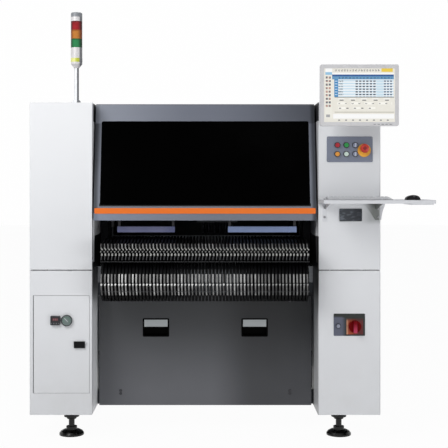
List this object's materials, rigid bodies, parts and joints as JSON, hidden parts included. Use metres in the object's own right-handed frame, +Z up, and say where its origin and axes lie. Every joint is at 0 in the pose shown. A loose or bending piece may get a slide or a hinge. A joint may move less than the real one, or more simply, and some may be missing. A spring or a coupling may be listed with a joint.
{
  "type": "pick and place machine",
  "caption": "Floor-standing pick and place machine with white side towers, hinged hoods, feeder bank, operator console, signal tower and an inner gantry with spindles.",
  "frame": {"origin": "on the floor under the middle of the machine's whole bounding box, keyboard tray included", "axes": "+Z up, -Y towards the operator at the feeder side, +X to the operator's right"},
  "size_m": [1.856, 1.743, 2.033],
  "materials": {
    "cover_white": "fine textured off-white powder coat",
    "hood_grey": "metallic blue-grey paint, satin",
    "panel_grey": "dark grey metallic paint, satin",
    "frame_grey": "grey paint, semi-matt",
    "bed_casting": "milled and lightly anodised",
    "linear_steel": "ground steel",
    "feet_black": "black, semi-gloss",
    "feeder_black": "black moulding with bright metal trim",
    "feeder_base": "anodised plate",
    "conveyor_alu": "anodised extrusion",
    "camera_black": "black",
    "cabinet_grey": "light grey paint",
    "console_grey": "grey paint, satin",
    "switch_grey": "grey paint, satin",
    "bracket_grey": "light grey paint",
    "tray_grey": "grey paint",
    "tower_silver": "satin silver",
    "lens_red": "clear ribbed moulding",
    "lens_amber": "clear ribbed moulding",
    "lens_green": "clear ribbed moulding",
    "window_black": "smoked acrylic",
    "lamp_lilac": "anodised lamp bar",
    "grip_silver": "satin silver over a black recess",
    "instrument_grey": "grey",
    "gauge_white": "white dial in a bright bezel",
    "latch_black": "black",
    "switch_red": "dark red",
    "cap_red": "red",
    "cap_green": "green",
    "cap_orange": "orange",
    "cap_white": "white",
    "knob_grey": "dark grey",
    "stop_red": "orange-red",
    "monitor_grey": "light grey moulding",
    "screen_glass": "lit display",
    "keys_grey": "light grey moulding",
    "keys_black": "black",
    "head_white": "white paint",
    "beam_alu": "anodised extrusion",
    "spindle_steel": "ground steel",
    "reel_clear": "pale plastic reel"
  },
  "bodies": {
    "machine": {"base_frame": "frame_grey", "machine_bed": "bed_casting", "gantry_stands": "bed_casting", "y_guide_rails": "linear_steel", "leveling_feet": "feet_black", "left_lower_cover": "cover_white", "left_upper_cover": "cover_white", "right_lower_cover": "cover_white", "right_upper_cover": "cover_white", "roof_panel": "hood_grey", "rear_lower_panel": "panel_grey", "feeder_bases": "feeder_base", "feeder_bank": "feeder_black", "conveyor_fixed_rail": "conveyor_alu", "vision_cameras": "camera_black", "controller_unit": "cabinet_grey", "operator_panel": "console_grey", "switch_plate": "switch_grey", "monitor_bracket": "bracket_grey", "keyboard_tray": "tray_grey", "signal_tower": "tower_silver", "signal_lens_red": "lens_red", "signal_lens_amber": "lens_amber", "signal_lens_green": "lens_green"},
    "front_hood": {"front_cover": "hood_grey", "front_window": "window_black", "hood_lamps": "lamp_lilac"},
    "rear_hood": {"rear_cover": "hood_grey", "rear_window": "window_black"},
    "lower_panel": {"front_lower_panel": "panel_grey", "panel_handles": "grip_silver"},
    "rear_bay": {"rear_bay_cover": "panel_grey"},
    "door": {"service_door": "cover_white", "pressure_switch": "instrument_grey", "pressure_gauge": "gauge_white"},
    "latch": {"door_latch": "latch_black"},
    "main_switch": {"main_switch_handle": "switch_red"},
    "red_button": {"button_red": "cap_red"},
    "green_button": {"button_green": "cap_green"},
    "orange_button": {"button_orange": "cap_orange"},
    "white_button": {"button_white": "cap_white"},
    "upper_selector": {"selector_upper": "knob_grey"},
    "lower_selector": {"selector_lower": "knob_grey"},
    "stop_button": {"emergency_stop": "stop_red"},
    "swivel_arm": {"monitor_arm": "bracket_grey"},
    "monitor": {"monitor_housing": "monitor_grey", "monitor_screen": "screen_glass"},
    "keyboard": {"keyboard": "keys_grey"},
    "mouse": {"mouse": "keys_black"},
    "gantry": {"x_beam": "beam_alu"},
    "head": {"head_carriage": "head_white"},
    "board_rail": {"conveyor_moving_rail": "conveyor_alu"},
    "rail_screw": {"width_screw": "spindle_steel"},
    "feeder": {"feeder_loose": "feeder_black"},
    "reel": {"feeder_loose_reel": "reel_clear"},
    "spindle_1": {"spindle_1": "spindle_steel"},
    "spindle_2": {"spindle_2": "spindle_steel"},
    "spindle_3": {"spindle_3": "spindle_steel"},
    "spindle_4": {"spindle_4": "spindle_steel"},
    "spindle_5": {"spindle_5": "spindle_steel"},
    "spindle_6": {"spindle_6": "spindle_steel"}
  },
  "joints": [
    {"name": "front_hood_hinge", "type": "hinge", "parent": "machine", "child": "front_hood", "pos_m": [-0.103, 0.0035, 1.572], "axis": [-1, 0, 0], "range_deg": [0, 60]},
    {"name": "rear_hood_hinge", "type": "hinge", "parent": "machine", "child": "rear_hood", "pos_m": [-0.103, 0.2235, 1.572], "axis": [1, 0, 0], "range_deg": [0, 60]},
    {"name": "lower_panel_removal", "type": "slide", "parent": "machine", "child": "lower_panel", "axis": [0, -1, 0], "range_m": [0, 0.35]},
    {"name": "rear_bay_cover_removal", "type": "slide", "parent": "machine", "child": "rear_bay", "axis": [0, 1, 0], "range_m": [0, 0.3]},
    {"name": "service_door_hinge", "type": "hinge", "parent": "machine", "child": "door", "pos_m": [-0.901, -0.6295, 0.45], "axis": [0, 0, -1], "range_deg": [0, 110]},
    {"name": "door_latch_pivot", "type": "hinge", "parent": "door", "child": "latch", "pos_m": [-0.6925, -0.6415, 0.461], "axis": [-1, 0, 0], "range_deg": [0, 45]},
    {"name": "main_switch_turn", "type": "hinge", "parent": "machine", "child": "main_switch", "pos_m": [0.6, -0.6405, 0.534], "axis": [0, 1, 0], "range_deg": [0, 90]},
    {"name": "red_button_press", "type": "slide", "parent": "machine", "child": "red_button", "axis": [0, 1, 0], "range_m": [0, 0.003], "stiffness_N_per_m": 300, "springref_m": -0.003},
    {"name": "green_button_press", "type": "slide", "parent": "machine", "child": "green_button", "axis": [0, 1, 0], "range_m": [0, 0.003], "stiffness_N_per_m": 300, "springref_m": -0.003},
    {"name": "orange_button_press", "type": "slide", "parent": "machine", "child": "orange_button", "axis": [0, 1, 0], "range_m": [0, 0.003], "stiffness_N_per_m": 300, "springref_m": -0.003},
    {"name": "white_button_press", "type": "slide", "parent": "machine", "child": "white_button", "axis": [0, 1, 0], "range_m": [0, 0.003], "stiffness_N_per_m": 300, "springref_m": -0.003},
    {"name": "upper_selector_turn", "type": "hinge", "parent": "machine", "child": "upper_selector", "pos_m": [0.602, -0.6405, 1.3855], "axis": [0, 1, 0], "range_deg": [-45, 45]},
    {"name": "lower_selector_turn", "type": "hinge", "parent": "machine", "child": "lower_selector", "pos_m": [0.602, -0.6405, 1.3435], "axis": [0, 1, 0], "range_deg": [-45, 45]},
    {"name": "emergency_stop_press", "type": "slide", "parent": "machine", "child": "stop_button", "axis": [0, 1, 0], "range_m": [0, 0.004], "stiffness_N_per_m": 800, "springref_m": -0.004},
    {"name": "monitor_swivel", "type": "hinge", "parent": "machine", "child": "swivel_arm", "pos_m": [0.603, -0.6705, 1.536], "axis": [0, 0, 1], "range_deg": [-20, 20]},
    {"name": "monitor_tilt", "type": "hinge", "parent": "swivel_arm", "child": "monitor", "pos_m": [0.603, -0.7085, 1.6085], "axis": [-1, 0, 0], "range_deg": [-5, 20]},
    {"name": "keyboard_lift", "type": "slide", "parent": "machine", "child": "keyboard", "axis": [0, 0, 1], "range_m": [0, 0.1]},
    {"name": "mouse_lift", "type": "slide", "parent": "machine", "child": "mouse", "axis": [0, 0, 1], "range_m": [0, 0.1]},
    {"name": "gantry_travel", "type": "slide", "parent": "machine", "child": "gantry", "axis": [0, 1, 0], "range_m": [-0.25, 0.33]},
    {"name": "head_travel", "type": "slide", "parent": "gantry", "child": "head", "axis": [1, 0, 0], "range_m": [-0.41, 0.26]},
    {"name": "spindle_1_travel", "type": "slide", "parent": "head", "child": "spindle_1", "axis": [0, 0, -1], "range_m": [0, 0.03]},
    {"name": "spindle_2_travel", "type": "slide", "parent": "head", "child": "spindle_2", "axis": [0, 0, -1], "range_m": [0, 0.03]},
    {"name": "spindle_3_travel", "type": "slide", "parent": "head", "child": "spindle_3", "axis": [0, 0, -1], "range_m": [0, 0.03]},
    {"name": "spindle_4_travel", "type": "slide", "parent": "head", "child": "spindle_4", "axis": [0, 0, -1], "range_m": [0, 0.03]},
    {"name": "spindle_5_travel", "type": "slide", "parent": "head", "child": "spindle_5", "axis": [0, 0, -1], "range_m": [0, 0.03]},
    {"name": "spindle_6_travel", "type": "slide", "parent": "head", "child": "spindle_6", "axis": [0, 0, -1], "range_m": [0, 0.03]},
    {"name": "board_width", "type": "slide", "parent": "machine", "child": "board_rail", "axis": [0, -1, 0], "range_m": [-0.08, 0.25]},
    {"name": "width_screw_turn", "type": "hinge", "parent": "machine", "child": "rail_screw", "pos_m": [-0.103, 0.1435, 0.826], "axis": [0, -1, 0], "range_deg": [-1440, 4500]},
    {"name": "feeder_removal", "type": "slide", "parent": "machine", "child": "feeder", "axis": [0, -1, 0], "range_m": [0, 0.4]},
    {"name": "reel_spin", "type": "hinge", "parent": "feeder", "child": "reel", "pos_m": [0.257, -0.6605, 0.757], "axis": [1, 0, 0], "continuous": true}
  ],
  "couplings": [
    {"joint": "width_screw_turn", "follows": "board_width", "rad_per_m": 314.16}
  ]
}
